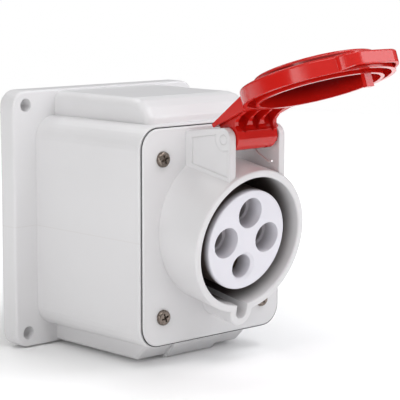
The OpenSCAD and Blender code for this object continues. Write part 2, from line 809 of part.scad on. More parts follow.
// solid between the barrel and the hood
module web_outline()
    polygon(concat(
        [on_arm(web_u0, hood_t / 2), hood_root, [lid_top - rim_edge, lid_r - 2 * rim_inside],
         [rim_s, lid_r - 2 * rim_inside], arm_root],
        knuckle_front(),
        [[pin_s, pin_h]]));

// outline of a pocket: a point on the barrel's front that opens out towards the rim
module pocket_outline(tip, x0, x1) {
    steps = 6;
    widen = function(i) 1 - pow(1 - i / steps, 2);
    side = function(x, i) [tip[0] + (x - tip[0]) * widen(i), tip[1] + pocket_len * i / steps];
    polygon(concat([for (i = [0:steps]) side(x0, i)], [[x0, lid_top], [x1, lid_top]],
                   [for (i = [steps:-1:1]) side(x1, i)]));
}

module knuckle_pockets()
    intersection() {
        translate([0, pin_h, pin_s]) rotate([90 + pocket_lean, 0, 0])
            linear_extrude(8 * barrel_r, center = true) {
                pocket_outline(pocket_tips[0], -inner_half, -rib_x - rib_t / 2);
                pocket_outline(pocket_tips[1], -rib_x + rib_t / 2, rib_x - rib_t / 2);
                pocket_outline(pocket_tips[2], rib_x + rib_t / 2, inner_half);
            }
        axis_profile(2 * inner_half)
            polygon([on_arm(web_u1, hood_t), on_arm(lid_r, hood_t),
                     on_arm(lid_r, lid_r), on_arm(web_u1, lid_r)]);
    }

module lid_knuckle() {
    difference() {
        union() {
            for (x = [-1, 1])
                translate([x * (knuckle_w - knuckle_wall) / 2, 0, 0])
                    axis_profile(knuckle_wall) knuckle_side_outline();
            difference() {
                translate([-knuckle_wall / 2, 0, 0])
                    axis_profile(2 * inner_half + knuckle_wall) web_outline();
                knuckle_pockets();
            }
        }
        clear_of_lid();
    }
    translate([0, pin_h, pin_s]) rotate([0, 90, 0])
        rotate_extrude()
            polygon(concat([[0, -knuckle_w / 2], [barrel_r, -knuckle_w / 2]],
                           arc(barrel_r - barrel_edge, barrel_end - barrel_edge, barrel_edge, 0, 90, 4),
                           [[0, barrel_end]]));
}

// room for the spring: its bore and the slots for its two legs
module spring_room() {
    moving_u = (pin_s - hood_tail[0]) * hood_along[0] + (pin_h - hood_tail[1]) * hood_along[1] + spring_r;
    translate([spring_x0 - slot_w / 2, pin_h, pin_s]) rotate([0, 90, 0])
        cylinder(r = spring_bore, h = inner_half - spring_x0 + slot_w / 2);
    translate([spring_x0, 0, 0]) axis_profile(slot_w)
        translate([pin_s, pin_h])
            intersection() {
                polygon(concat([[0, 0]], arc(0, 0, 3 * barrel_r, fixed_slot[0], fixed_slot[1], 6)));
                circle(r = barrel_r + 1);
            }
    translate([spring_x1, 0, 0]) axis_profile(slot_w)
        polygon([on_arm(moving_u - slot_w / 2, hood_t),
                 on_arm(moving_u + slot_w / 2, hood_t),
                 on_arm(moving_u + slot_w / 2, hood_t + 2 * barrel_r),
                 on_arm(moving_u - slot_w / 2, hood_t + 2 * barrel_r)]);
}

module latch_nose()
    translate([-latch_w / 2, -skirt_r, skirt_s - latch_len])
        cube([latch_w, skirt_t + 0.3, latch_len + lid_wall]);

module lid() color(red)
    lid_at_rest() on_axis()
        difference() {
            union() {
                rotate_extrude() lid_section();
                lid_grip();
                lid_hood();
                lid_knuckle();
                latch_nose();
            }
            spring_room();
            translate([-knuckle_w / 2 - 1, pin_h, pin_s]) rotate([0, 90, 0])
                cylinder(r = pin_r + pin_clear + 0.01, h = knuckle_w + 2);
        }

// ---------------------------------------------------------------- lid spring

// centre line of the spring, (x, forward, up) from the pin: fixed leg, coil, moving leg
function spring_path() =
    let (
        lead = fixed_leg[len(fixed_leg) - 1],
        a0 = atan2(lead[1], lead[0]) + acos(spring_r / norm(lead)),
        // the moving leg stands square to the hood
        leg = lid_open - tilt + atan2(-hood_inward[1], -hood_inward[0]),
        a1 = leg - 90 + spring_turns * 360,
        steps = ceil((a1 - a0 + 360) / 24),
        start = a0 - 360,
        run = [for (i = [0:steps]) let (a = start + (a1 - start) * i / steps)
            [spring_x0 + (spring_x1 - spring_x0) * i / steps, spring_r * cos(a), spring_r * sin(a)]],
        out = [cos(leg), sin(leg)],
        end = spring_r * [cos(a1), sin(a1)],
        pin_d = (pin_s - hood_tail[0]) * hood_inward[0] + (pin_h - hood_tail[1]) * hood_inward[1],
        reach = pin_d - hood_t - wire_r - 0.1
    )
    concat(
        [for (p = fixed_leg) [spring_x0, p[0], p[1]]],
        run,
        [for (k = [0.1, 1]) [spring_x1, end[0] + k * reach * out[0], end[1] + k * reach * out[1]]]);

// round bar of n sides along a path that never runs along X
module bar_along(path, r, n) {
    last = len(path) - 1;
    rings = [for (i = [0:last])
        let (
            t = path[min(i + 1, last)] - path[max(i - 1, 0)],
            u = cross([1, 0, 0], t) / norm(cross([1, 0, 0], t)),
            v = cross(t, u) / norm(t)
        )
        for (k = [0:n - 1]) path[i] + r * (cos(360 * k / n) * u + sin(360 * k / n) * v)];
    corner = function(i, k) i * n + k % n;
    faces = concat(
        [[for (k = [0:n - 1]) k]],
        [for (i = [1:last], k = [0:n - 1]) [corner(i - 1, k), corner(i, k), corner(i - 1, k + 1)]],
        [for (i = [1:last], k = [0:n - 1]) [corner(i - 1, k + 1), corner(i, k), corner(i, k + 1)]],
        [[for (k = [n - 1:-1:0]) corner(last, k)]]);
    polyhedron(points = rings, faces = faces, convexity = 10);
}

module lid_spring() color(steel)
    translate([0, -box_depth - hinge_out, hinge_z])
        bar_along([for (p = spring_path()) [p[0], -p[1], p[2]]], wire_r, 8);

// ---------------------------------------------------------------- assembly

wall_box();
box_gasket();
front_plate();
cover_screws();
threaded_inserts();
contact_carrier();
carrier_ring();
terminal_block();
carrier_screws();
block_screw();
contact_l1();
contact_l2();
contact_l3();
contact_earth();
clip_l1();
clip_l2();
clip_l3();
clip_earth();
terminal_screws();
hinge_pin();
lid_spring();
lid();
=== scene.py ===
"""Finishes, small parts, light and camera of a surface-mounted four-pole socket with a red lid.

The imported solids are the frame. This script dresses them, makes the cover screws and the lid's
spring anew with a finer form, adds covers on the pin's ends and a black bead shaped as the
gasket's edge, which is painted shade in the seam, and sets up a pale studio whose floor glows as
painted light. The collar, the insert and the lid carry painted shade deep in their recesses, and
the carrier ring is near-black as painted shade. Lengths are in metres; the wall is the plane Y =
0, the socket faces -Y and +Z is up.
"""

from __future__ import annotations

import logging
import math
from dataclasses import dataclass
from enum import Enum
from functools import cache
from typing import Any, Sequence

import bmesh
import bpy
from mathutils import Matrix, Quaternion, Vector


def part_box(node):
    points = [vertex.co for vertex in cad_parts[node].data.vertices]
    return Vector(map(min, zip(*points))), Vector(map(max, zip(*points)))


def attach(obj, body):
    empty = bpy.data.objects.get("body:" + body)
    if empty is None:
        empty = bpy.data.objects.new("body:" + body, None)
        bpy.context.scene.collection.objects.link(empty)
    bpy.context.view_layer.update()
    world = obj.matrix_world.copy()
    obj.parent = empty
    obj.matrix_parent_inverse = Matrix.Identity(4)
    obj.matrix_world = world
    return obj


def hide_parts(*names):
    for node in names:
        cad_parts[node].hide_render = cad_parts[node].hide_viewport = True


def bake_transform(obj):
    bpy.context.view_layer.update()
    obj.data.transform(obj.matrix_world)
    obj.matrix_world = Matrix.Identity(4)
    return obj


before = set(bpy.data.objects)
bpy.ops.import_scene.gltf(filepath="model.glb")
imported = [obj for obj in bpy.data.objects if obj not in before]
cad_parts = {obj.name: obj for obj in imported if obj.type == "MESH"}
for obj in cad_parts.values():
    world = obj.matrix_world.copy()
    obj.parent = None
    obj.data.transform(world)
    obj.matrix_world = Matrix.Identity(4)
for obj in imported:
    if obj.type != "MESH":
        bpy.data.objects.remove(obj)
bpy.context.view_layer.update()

LOG = logging.getLogger("socket")
MM = 0.001

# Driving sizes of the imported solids: cover plate, tilted socket, hinge pin and the lid's swing.
PLATE_FRONT = 76.5 * MM
SOCKET_UP = 0.67 * MM
TILT = math.radians(10.3)
PIN_OUT = 98.3 * MM
PIN_UP = 39.2 * MM
LID_SWING = math.radians(119.4)

Colour = tuple[float, float, float, float]
Point = tuple[float, float, float]
BLACK: Colour = (0.0, 0.0, 0.0, 1.0)
WHITE: Colour = (1.0, 1.0, 1.0, 1.0)


class Body(Enum):
    """The two bodies of the part."""

    HOUSING = "housing"
    LID = "lid"


class Slot(Enum):
    """Names of some material slots of the part's record."""

    WHITE = "housing_white"
    NICKEL = "nickel_screw"
    SPRING = "spring_steel"
    RUBBER = "gasket_black"


# ---------------------------------------------------------------------------------- node graphs


class Wire:
    """A socket of a node tree that can be used in Python expressions."""

    def __init__(self, graph: Graph, socket: bpy.types.NodeSocket) -> None:
        """Keeps the tree and the socket.

        Args:
            graph: The tree that the socket belongs to.
            socket: The output socket.
        """
        self.graph = graph
        self.socket = socket

    def _math(self, operation: str, first: Any, second: Any) -> Wire:
        """Adds a Math node.

        Args:
            operation: The node's operation.
            first: The first value or wire.
            second: The second value or wire.

        Returns:
            The node's output.
        """
        return self.graph.node("ShaderNodeMath", {"operation": operation}, {0: first, 1: second})

    def __add__(self, other: Any) -> Wire:
        """Sum."""
        return self._math("ADD", self, other)

    def __radd__(self, other: Any) -> Wire:
        """Sum with a number on the left."""
        return self._math("ADD", other, self)

    def __sub__(self, other: Any) -> Wire:
        """Difference."""
        return self._math("SUBTRACT", self, other)

    def __rsub__(self, other: Any) -> Wire:
        """Difference from a number on the left."""
        return self._math("SUBTRACT", other, self)

    def __mul__(self, other: Any) -> Wire:
        """Product."""
        return self._math("MULTIPLY", self, other)

    def __rmul__(self, other: Any) -> Wire:
        """Product with a number on the left."""
        return self._math("MULTIPLY", other, self)


class Graph:
    """A node tree, with one method that makes any node."""

    def __init__(self, tree: bpy.types.NodeTree) -> None:
        """Keeps the tree and empties it.

        Args:
            tree: The tree to fill.
        """
        self.tree = tree
        self.tree.nodes.clear()

    def node(self, kind: str, settings: dict[str, Any] | None = None,
             inputs: dict[Any, Any] | None = None, output: Any = 0) -> Wire:
        """Adds any node.

        Args:
            kind: The node's type.
            settings: Its properties, set first; "stops" holds a ramp's places and colours.
            inputs: Values or wires by socket name or number; a list joins several wires.
            output: Name or number of the output to return.

        Returns:
            That output; the wire is empty where the node has none.
        """
        made = self.tree.nodes.new(kind)
        for key, value in (settings or {}).items():
            if key == "stops":
                self._fill_ramp(made.color_ramp, value)
            else:
                setattr(made, key, value)
        for key, value in (inputs or {}).items():
            socket = made.inputs[key]
            if isinstance(value, Wire):
                self.tree.links.new(value.socket, socket)
            elif isinstance(value, list):
                for wire in value:
                    self.tree.links.new(wire.socket, socket)
            else:
                socket.default_value = value
        return Wire(self, made.outputs[output] if len(made.outputs) else None)

    @staticmethod
    def _fill_ramp(ramp: bpy.types.ColorRamp, stops: Sequence[tuple[float, Colour]]) -> None:
        """Sets a ramp's stops.

        Args:
            ramp: The ramp.
            stops: Places and colours.
        """
        while len(ramp.elements) < len(stops):
            ramp.elements.new(0.5)
        for element, (place, colour) in zip(ramp.elements, stops):
            element.position = place
            element.color = colour


class Shade(Graph):
    """The node tree of one material."""

    def __init__(self, name: str) -> None:
        """Makes an empty material of that name.

        Args:
            name: The material's name.
        """
        self.material = bpy.data.materials.new(name)
        self.material.use_nodes = True
        super().__init__(self.material.node_tree)

    def surface(self, shader: Wire) -> bpy.types.Material:
        """Ends the tree.

        Args:
            shader: The finished shader.

        Returns:
            The material.
        """
        self.node("ShaderNodeOutputMaterial", None, {"Surface": shader})
        return self.material

    def position(self) -> Wire:
        """Place on the object, in metres."""
        return self.node("ShaderNodeTexCoord", output="Object")

    def along(self, origin: Point, direction: Point) -> Wire:
        """Distance of a place from a plane.

        Args:
            origin: A point of the plane.
            direction: The plane's unit normal.

        Returns:
            The signed distance in metres.
        """
        offset = self.node("ShaderNodeVectorMath", {"operation": "SUBTRACT"},
                           {0: self.position(), 1: origin}, "Vector")
        return self.node("ShaderNodeVectorMath", {"operation": "DOT_PRODUCT"},
                         {0: offset, 1: direction}, "Value")

    def step(self, value: Wire, low: float, high: float) -> Wire:
        """Smooth step from 0 at low to 1 at high.

        Args:
            value: The value.
            low: Where it leaves 0.
            high: Where it reaches 1; may lie below low.

        Returns:
            The step.
        """
        return self.node("ShaderNodeMapRange", {"interpolation_type": "SMOOTHSTEP"},
                         {"Value": value, "From Min": low, "From Max": high}, "Result")

    def noise(self, size: float, detail: float = 2.0, rough: float = 0.5) -> Wire:
        """Soft noise of a given grain.

        Args:
            size: Width of a blotch in metres.
            detail: Number of finer layers.
            rough: Strength of the finer layers.

        Returns:
            A value about 0.5.
        """
        return self.node("ShaderNodeTexNoise", {"noise_dimensions": "3D"},
                         {"Vector": self.position(), "Scale": 1.0 / size, "Detail": detail,
                          "Roughness": rough}, "Fac")

    def mix(self, factor: Any, first: Any, second: Any) -> Wire:
        """Blends two colours.

        Args:
            factor: How much of the second.
            first: The first colour.
            second: The second colour.

        Returns:
            The blended colour.
        """
        return self.node("ShaderNodeMix", {"data_type": "RGBA"},
                         {0: factor, 6: first, 7: second}, 2)

    def soft_edges(self, radius: float, samples: int = 6) -> Wire:
        """Normal that runs round sharp edges as a moulding's small fillets do.

        Args:
            radius: Fillet radius in metres.
            samples: Rays used.

        Returns:
            The normal.
        """
        return self.node("ShaderNodeBevel", {"samples": samples}, {"Radius": radius}, "Normal")

    def bump(self, height: Wire, distance: float, normal: Wire) -> Wire:
        """Bump from a height.

        Args:
            height: The height, 0 to 1.
            distance: Height of 1 in metres.
            normal: The normal underneath.

        Returns:
            The normal.
        """
        return self.node("ShaderNodeBump", None,
                         {"Height": height, "Distance": distance, "Normal": normal}, "Normal")


class Recipe(Graph):
    """A geometry node tree with named sizes, which turns seed geometry into a plain mesh."""

    def __init__(self, name: str) -> None:
        """Makes the tree with its geometry sockets.

        Args:
            name: The tree's name.
        """
        group = bpy.data.node_groups.new(name, "GeometryNodeTree")
        super().__init__(group)
        group.interface.new_socket("Seed", in_out="INPUT", socket_type="NodeSocketGeometry")
        group.interface.new_socket("Result", in_out="OUTPUT", socket_type="NodeSocketGeometry")
        self.entry = group.nodes.new("NodeGroupInput")
        self.values: dict[str, Any] = {}

    def seed(self) -> Wire:
        """The geometry that comes in."""
        return Wire(self, self.entry.outputs[0])

    def size(self, name: str, value: Any, kind: str = "NodeSocketFloat") -> Wire:
        """Adds a named input.

        Args:
            name: Its name.
            value: Its value.
            kind: Its socket type.

        Returns:
            The input's wire.
        """
        made = self.tree.interface.new_socket(name, in_out="INPUT", socket_type=kind)
        self.values[made.identifier] = value
        place = [item.identifier for item in self.entry.outputs].index(made.identifier)
        return Wire(self, self.entry.outputs[place])

    def finish(self, geometry: Wire, material: bpy.types.Material) -> None:
        """Ends the tree with Realize Instances and Set Material.

        Args:
            geometry: The geometry.
            material: Its material.
        """
        real = self.node("GeometryNodeRealizeInstances", None, {"Geometry": geometry})
        dressed = self.node("GeometryNodeSetMaterial", None, {"Geometry": real,
                                                              "Material": material})
        self.node("NodeGroupOutput", None, {0: dressed})

    def cook(self, seed: bpy.types.Object, name: str) -> bpy.types.Object:
        """Runs the tree on an object and keeps the result as a plain mesh.

        Args:
            seed: Object whose geometry goes in; it is used up.
            name: Name of the new piece.

        Returns:
            The piece.
        """
        modifier = seed.modifiers.new("recipe", "NODES")
        modifier.node_group = self.tree
        for identifier, value in self.values.items():
            modifier[identifier] = value
        depsgraph = bpy.context.evaluated_depsgraph_get()
        mesh = bpy.data.meshes.new_from_object(seed.evaluated_get(depsgraph), depsgraph=depsgraph)
        seed.modifiers.remove(modifier)
        bpy.data.objects.remove(seed)
        return place_object(name, mesh)


def rgb(red: float, green: float, blue: float) -> Colour:
    """Linear colour from display values.

    Args:
        red: 0 to 255.
        green: 0 to 255.
        blue: 0 to 255.

    Returns:
        The linear colour with alpha 1.
    """
    def linear(value: float) -> float:
        """One channel."""
        share = value / 255.0
        return share / 12.92 if share <= 0.04045 else ((share + 0.055) / 1.055) ** 2.4
    return (linear(red), linear(green), linear(blue), 1.0)


# ------------------------------------------------------------------------------------ finishes


@dataclass(frozen=True)
class SocketAxis:
    """A tilted axis in the plane X = 0: the socket's, or the open lid's."""

    tilt: float = TILT
    origin: Point = (0.0, -PLATE_FRONT, SOCKET_UP)

    def out(self) -> Point:
        """Unit vector along the axis, out of the plate."""
        return (0.0, -math.cos(self.tilt), -math.sin(self.tilt))

    def up(self) -> Point:
        """Unit vector square to the axis, upwards."""
        return (0.0, -math.sin(self.tilt), math.cos(self.tilt))

    def reach(self, shade: Shade) -> Wire:
        """Distance of a place from the axis' origin, along the axis."""
        return shade.along(self.origin, self.out())

    def radius(self, shade: Shade) -> Wire:
        """Distance of a place from the axis.

        Args:
            shade: The material's tree.

        Returns:
            The distance in metres.
        """
        across = shade.along(self.origin, (1.0, 0.0, 0.0))
        above = shade.along(self.origin, self.up())
        return shade.node("ShaderNodeMath", {"operation": "SQRT"},
                          {0: across * across + above * above})

    def swung(self, pin: Point, angle: float) -> SocketAxis:
        """The axis once it has swung about the hinge pin.

        Args:
            pin: A point on the hinge pin.
            angle: How far it swings open.

        Returns:
            The swung axis.
        """
        back, down = self.origin[1] - pin[1], self.origin[2] - pin[2]
        origin = (0.0, pin[1] + back * math.cos(angle) + down * math.sin(angle),
                  pin[2] - back * math.sin(angle) + down * math.cos(angle))
        return SocketAxis(self.tilt - angle, origin)


AXIS = SocketAxis()
LID_AXIS = AXIS.swung((0.0, -PIN_OUT, PIN_UP), LID_SWING)


@dataclass(frozen=True)
class PaintedRecessShade:
    """Painted shade: darker colour on surfaces deep inside a round recess, where shade falls.

    It covers radii from inner to outer about the axis. Along the axis it starts at front, is full
    at back and ends at stop.
    """

    inner: float
    outer: float
    front: float
    back: float
    tone: Colour
    axis: SocketAxis = AXIS
    stop: float | None = None
    fade: float = 0.3 * MM

    def over(self, shade: Shade, plain: Wire) -> Wire:
        """Colour with the painted shade laid over it.

        Args:
            shade: The material's tree.
            plain: The colour outside the recess.

        Returns:
            The colour.
        """
        reach, radius = self.axis.reach(shade), self.axis.radius(shade)
        share = shade.step(radius, self.outer + self.fade, self.outer) * shade.step(
            reach, self.front, self.back)
        if self.inner > 0.0:
            share = share * shade.step(radius, self.inner - self.fade, self.inner)
        if self.stop is not None:
            share = share * shade.step(reach, self.stop + self.fade, self.stop)
        return shade.mix(share, plain, self.tone)


@dataclass(frozen=True)
class PartingLine:
    """Faint level line where two halves of the mould met."""

    level: float
    width: float
    tone: Colour

    def over(self, shade: Shade, plain: Wire) -> Wire:
        """Colour with the line laid over it.

        Args:
            shade: The material's tree.
            plain: The colour beside the line.

        Returns:
            The colour.
        """
        height = shade.along((0.0, 0.0, self.level), (0.0, 0.0, 1.0))
        share = shade.step(height, -self.width, 0.0) * shade.step(height, self.width, 0.0)
        return shade.mix(share, plain, self.tone)


@dataclass(frozen=True)
class MouldedPlastic:
    """Injection-moulded plastic: faint clouding, fine tool grain and small fillets."""

    name: str
    base: Colour
    cloud: Colour
    roughness: float
    grain: float = 0.00035
    grain_height: float = 0.000004
    fillet: float = 0.0006
    coat: float = 0.0
    ior: float = 1.5
    cloud_size: float = 0.03
    mottle: float = 0.08
    coat_roughness: float = 0.04
    painted_shade_and_parting_lines: tuple[PaintedRecessShade | PartingLine, ...] = ()

    def colour(self, shade: Shade, cloud: Wire) -> Wire:
        """Clouded colour with the painted recess shade and the parting lines laid over it.

        Args:
            shade: The material's tree.
            cloud: The clouding.

        Returns:
            The colour.
        """
        colour = shade.mix(cloud, self.base, self.cloud)
        for tone in self.painted_shade_and_parting_lines:
            colour = tone.over(shade, colour)
        return colour

    @cache
    def material(self) -> bpy.types.Material:
        """Builds the material on its first use.

        Returns:
            The material, the same one on every later use.
        """
        shade = Shade(self.name)
        cloud = shade.noise(self.cloud_size, 3.0)
        grain = shade.noise(self.grain, 2.0, 0.6)
        normal = shade.bump(grain, self.grain_height, shade.soft_edges(self.fillet))
        shader = shade.node("ShaderNodeBsdfPrincipled", None, {
            "Base Color": self.colour(shade, cloud),
            "Roughness": self.roughness + self.mottle * (cloud - 0.5),
            "Normal": normal,
            "Coat Weight": self.coat,
            "Coat Roughness": self.coat_roughness,
            "IOR": self.ior,
        })
        return shade.surface(shader)


@dataclass(frozen=True)
class Metal:
    """Plated or turned metal with a fine brushed grain."""

    name: str
    base: Colour
    stain: Colour
    roughness: float
    metallic: float = 1.0
    fillet: float = 0.0001
    stain_size: float = 0.0015
    scratch_size: float = 0.0002
    scratch_depth: float = 0.000003
    mottle: float = 0.15

    @cache
    def material(self) -> bpy.types.Material:
        """Builds the material on its first use.

        Returns:
            The material, the same one on every later use.
        """
        shade = Shade(self.name)
        cloud = shade.noise(self.stain_size, 3.0)
        scratch = shade.noise(self.scratch_size, 1.0)
        normal = shade.bump(scratch, self.scratch_depth, shade.soft_edges(self.fillet, 4))
        shader = shade.node("ShaderNodeBsdfPrincipled", None, {
            "Base Color": shade.mix(cloud, self.base, self.stain),
            "Metallic": self.metallic,
            "Roughness": self.roughness + self.mottle * (cloud - 0.5),
            "Normal": normal,
        })
        return shade.surface(shader)


@dataclass(frozen=True)
class Finishes:
    """Every finish of the part."""

    # Painted shade: the collar's inside darkens with depth towards the insert.
    white: MouldedPlastic = MouldedPlastic(
        "moulded_white", rgb(220, 219, 220), rgb(215, 214, 215), 0.33,
        painted_shade_and_parting_lines=(PaintedRecessShade(inner=20.0 * MM, outer=27.3 * MM, front=22.3 * MM, back=7.0 * MM,
                        tone=rgb(92, 82, 78)),))
    wall: MouldedPlastic = MouldedPlastic(
        "moulded_wall_box", rgb(221, 220, 221), rgb(216, 215, 216), 0.33,
        painted_shade_and_parting_lines=(PartingLine(level=-2.6 * MM, width=0.35 * MM, tone=rgb(214, 212, 212)),))
    # Painted shade: the insert's outer wall and its pin holes darken with depth.
    insert: MouldedPlastic = MouldedPlastic(
        "moulded_insert", rgb(227, 226, 232), rgb(223, 222, 229), 0.42, fillet=0.0004,
        painted_shade_and_parting_lines=(PaintedRecessShade(inner=20.6 * MM, outer=21.4 * MM, front=19.7 * MM, back=16.6 * MM,
                        tone=rgb(70, 60, 56)),
               PaintedRecessShade(inner=0.0, outer=19.0 * MM, front=18.9 * MM, back=7.0 * MM,
                        tone=rgb(118, 110, 108))))
    # Painted shade: the carrier ring is near-black so the bottom of the plug gap reads as deep
    # shade.
    ring: MouldedPlastic = MouldedPlastic("ring_black_as_painted_shade", rgb(40, 38, 38), rgb(34, 32, 33),
                                          0.6, fillet=0.0003)
    # Painted shade: the lid's inside darkens with depth into the cap towards its crown.
    red: MouldedPlastic = MouldedPlastic(
        "moulded_red", rgb(200, 26, 18), rgb(192, 21, 14), 0.18, fillet=0.0003,
        grain_height=0.000001, coat=0.1, ior=1.45,
        painted_shade_and_parting_lines=(PaintedRecessShade(inner=0.0, outer=23.8 * MM, front=22.5 * MM, back=28.5 * MM,
                        tone=rgb(112, 6, 6), axis=LID_AXIS, stop=30.5 * MM),))
    rubber: MouldedPlastic = MouldedPlastic("black_rubber", rgb(32, 32, 34), rgb(26, 26, 28), 0.7,
                                            fillet=0.0002)
    nickel: Metal = Metal("nickel_plate", rgb(150, 139, 130), rgb(96, 86, 78), 0.28)
    spring: Metal = Metal("spring_steel", rgb(232, 230, 229), rgb(216, 214, 212), 0.38,
                          metallic=0.75)
    brass: Metal = Metal("turned_brass", rgb(104, 90, 74), rgb(78, 66, 54), 0.45)


# --------------------------------------------------------------------------------- mesh helpers


def place_object(name: str, mesh: bpy.types.Mesh) -> bpy.types.Object:
    """Puts a mesh into the scene at the origin.

    Args:
        name: Name of the object and the mesh.
        mesh: The mesh.

    Returns:
        The object.
    """
    mesh.name = name
    made = bpy.data.objects.new(name, mesh)
    bpy.context.scene.collection.objects.link(made)
    return made


def dress(target: bpy.types.Object, material: bpy.types.Material) -> None:
    """Gives an object one material.

    Args:
        target: The object.
        material: The material.
    """
    slots = target.data.materials
    if len(slots) == 0:
        slots.append(material)
    for index in range(len(slots)):
        slots[index] = material


def dress_nodes(nodes: Sequence[str], material: bpy.types.Material) -> None:
    """Gives CAD nodes one material and reports them.

    Args:
        nodes: The nodes' names.
        material: The material.
    """
    for node in nodes:
        dress(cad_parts[node], material)
        LOG.info("%s: dressed with %s", node, material.name)


def report(piece: bpy.types.Object) -> None:
    """Reports a new piece.

    Args:
        piece: The piece.
    """
    LOG.info("%s: %d faces", piece.name, len(piece.data.polygons))


def lathe(profile: Sequence[tuple[float, float]], sides: int) -> bpy.types.Mesh:
    """Turns a profile about Z.

    Args:
        profile: Points (radius, height); the first and the last lie on the axis.
        sides: Number of sides.

    Returns:
        A closed mesh with its faces outwards.
    """
    work = bmesh.new()
    points = [work.verts.new((radius, 0.0, height)) for radius, height in profile]
    edges = [work.edges.new(pair) for pair in zip(points, points[1:])]
    bmesh.ops.spin(work, geom=points + edges, cent=(0.0, 0.0, 0.0), axis=(0.0, 0.0, 1.0),
                   angle=2 * math.pi, steps=sides, use_merge=True)
    bmesh.ops.remove_doubles(work, verts=work.verts, dist=1e-7)
    bmesh.ops.recalc_face_normals(work, faces=work.faces)
    mesh = bpy.data.meshes.new("turned")
    work.to_mesh(mesh)
    work.free()
    return mesh


def arc(centre: tuple[float, float], radius: float, start: float, end: float,
        steps: int) -> list[tuple[float, float]]:
    """Points of an arc.

    Args:
        centre: Its centre.
        radius: Its radius.
        start: First angle in degrees.
        end: Last angle in degrees.
        steps: Number of pieces.

    Returns:
        The points.
    """
    angles = [math.radians(start + (end - start) * step / steps) for step in range(steps + 1)]
    return [(centre[0] + radius * math.cos(angle), centre[1] + radius * math.sin(angle))
            for angle in angles]


def smooth_by_angle(mesh: bpy.types.Mesh, degrees: float = 35.0) -> None:
    """Shades a mesh smooth apart from its sharp edges.

    Args:
        mesh: The mesh.
        degrees: Edges sharper than this stay sharp.
    """
    mesh.polygons.foreach_set("use_smooth", [True] * len(mesh.polygons))
    mesh.set_sharp_from_angle(angle=math.radians(degrees))


def sweep(path: Sequence[Point], closed: bool, radius: float, sides: int,
          material: bpy.types.Material, name: str) -> bpy.types.Object:
    """Sweeps a round section along a path.

    Args:
        path: Points of the centre line.
        closed: Whether the last point joins the first.
        radius: Radius of the section.
        sides: Sides of the section.
        material: The piece's material.
        name: Name of the piece.

    Returns:
        The piece.
    """
    seed = bpy.data.meshes.new("path")
    count = len(path)
    links = [(index, (index + 1) % count) for index in range(count if closed else count - 1)]
    seed.from_pydata(path, links, [])
    recipe = Recipe(name + "_recipe")
    wire_radius = recipe.size("Wire radius", radius)
    wire_sides = recipe.size("Sides", sides, "NodeSocketInt")
    line = recipe.node("GeometryNodeMeshToCurve", None, {"Mesh": recipe.seed()})
    section = recipe.node("GeometryNodeCurvePrimitiveCircle", None,
                          {"Resolution": wire_sides, "Radius": wire_radius})
    wire = recipe.node("GeometryNodeCurveToMesh", None,
                       {"Curve": line, "Profile Curve": section, "Fill Caps": not closed})
    recipe.finish(wire, material)
    return recipe.cook(place_object("path", seed), name)


# --------------------------------------------------------------------------------- sub-assemblies


@dataclass
class WallHousing:
    """The wall box, its gasket, and a black bead as painted shade in the cover plate's seam."""

    finishes: Finishes
    plate_width: float = 77.2 * MM
    plate_height: float = 88.5 * MM
    plate_middle: float = -1.25 * MM
    plate_corner: float = 8.5 * MM
    seam: float = 0.3 * MM
    bead_radius: float = 0.145 * MM
    bead_sides: int = 8
    bead_setback: float = 0.6 * MM
    corner_steps: int = 12

    def bead_path(self) -> list[Point]:
        """Lays out the black bead of painted seam shade in the middle of the seam.

        Returns:
            Points of its centre line, once round.
        """
        half_width = self.plate_width / 2 - self.plate_corner
        half_height = self.plate_height / 2 - self.plate_corner
        bend = self.plate_corner + self.seam / 2
        path = []
        for corner, (side, rise) in enumerate(((1, 1), (-1, 1), (-1, -1), (1, -1))):
            centre = (side * half_width, self.plate_middle + rise * half_height)
            path += arc(centre, bend, 90.0 * corner, 90.0 * (corner + 1),
                        self.corner_steps)
        return [(x, self.bead_setback - PLATE_FRONT, z) for x, z in path]

    def bead(self, material: bpy.types.Material) -> None:
        """Sweeps the black bead, shaped as the gasket's edge, round the seam as painted shade.

        Args:
            material: The rubber.
        """
        # Painted shade: a black bead darkens the seam, shaped as the gasket's edge.
        piece = sweep(self.bead_path(), True, self.bead_radius, self.bead_sides, material,
                      "gasket_edge")
        smooth_by_angle(piece.data, 60.0)
        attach(piece, Body.HOUSING.value)
        report(piece)

    def build(self) -> None:
        """Dresses the box and lays the black bead of painted shade in the seam."""
        dress_nodes(("wall_box",), self.finishes.wall.material())
        rubber = self.finishes.rubber.material()
        dress_nodes(("box_gasket",), rubber)
        self.bead(rubber)


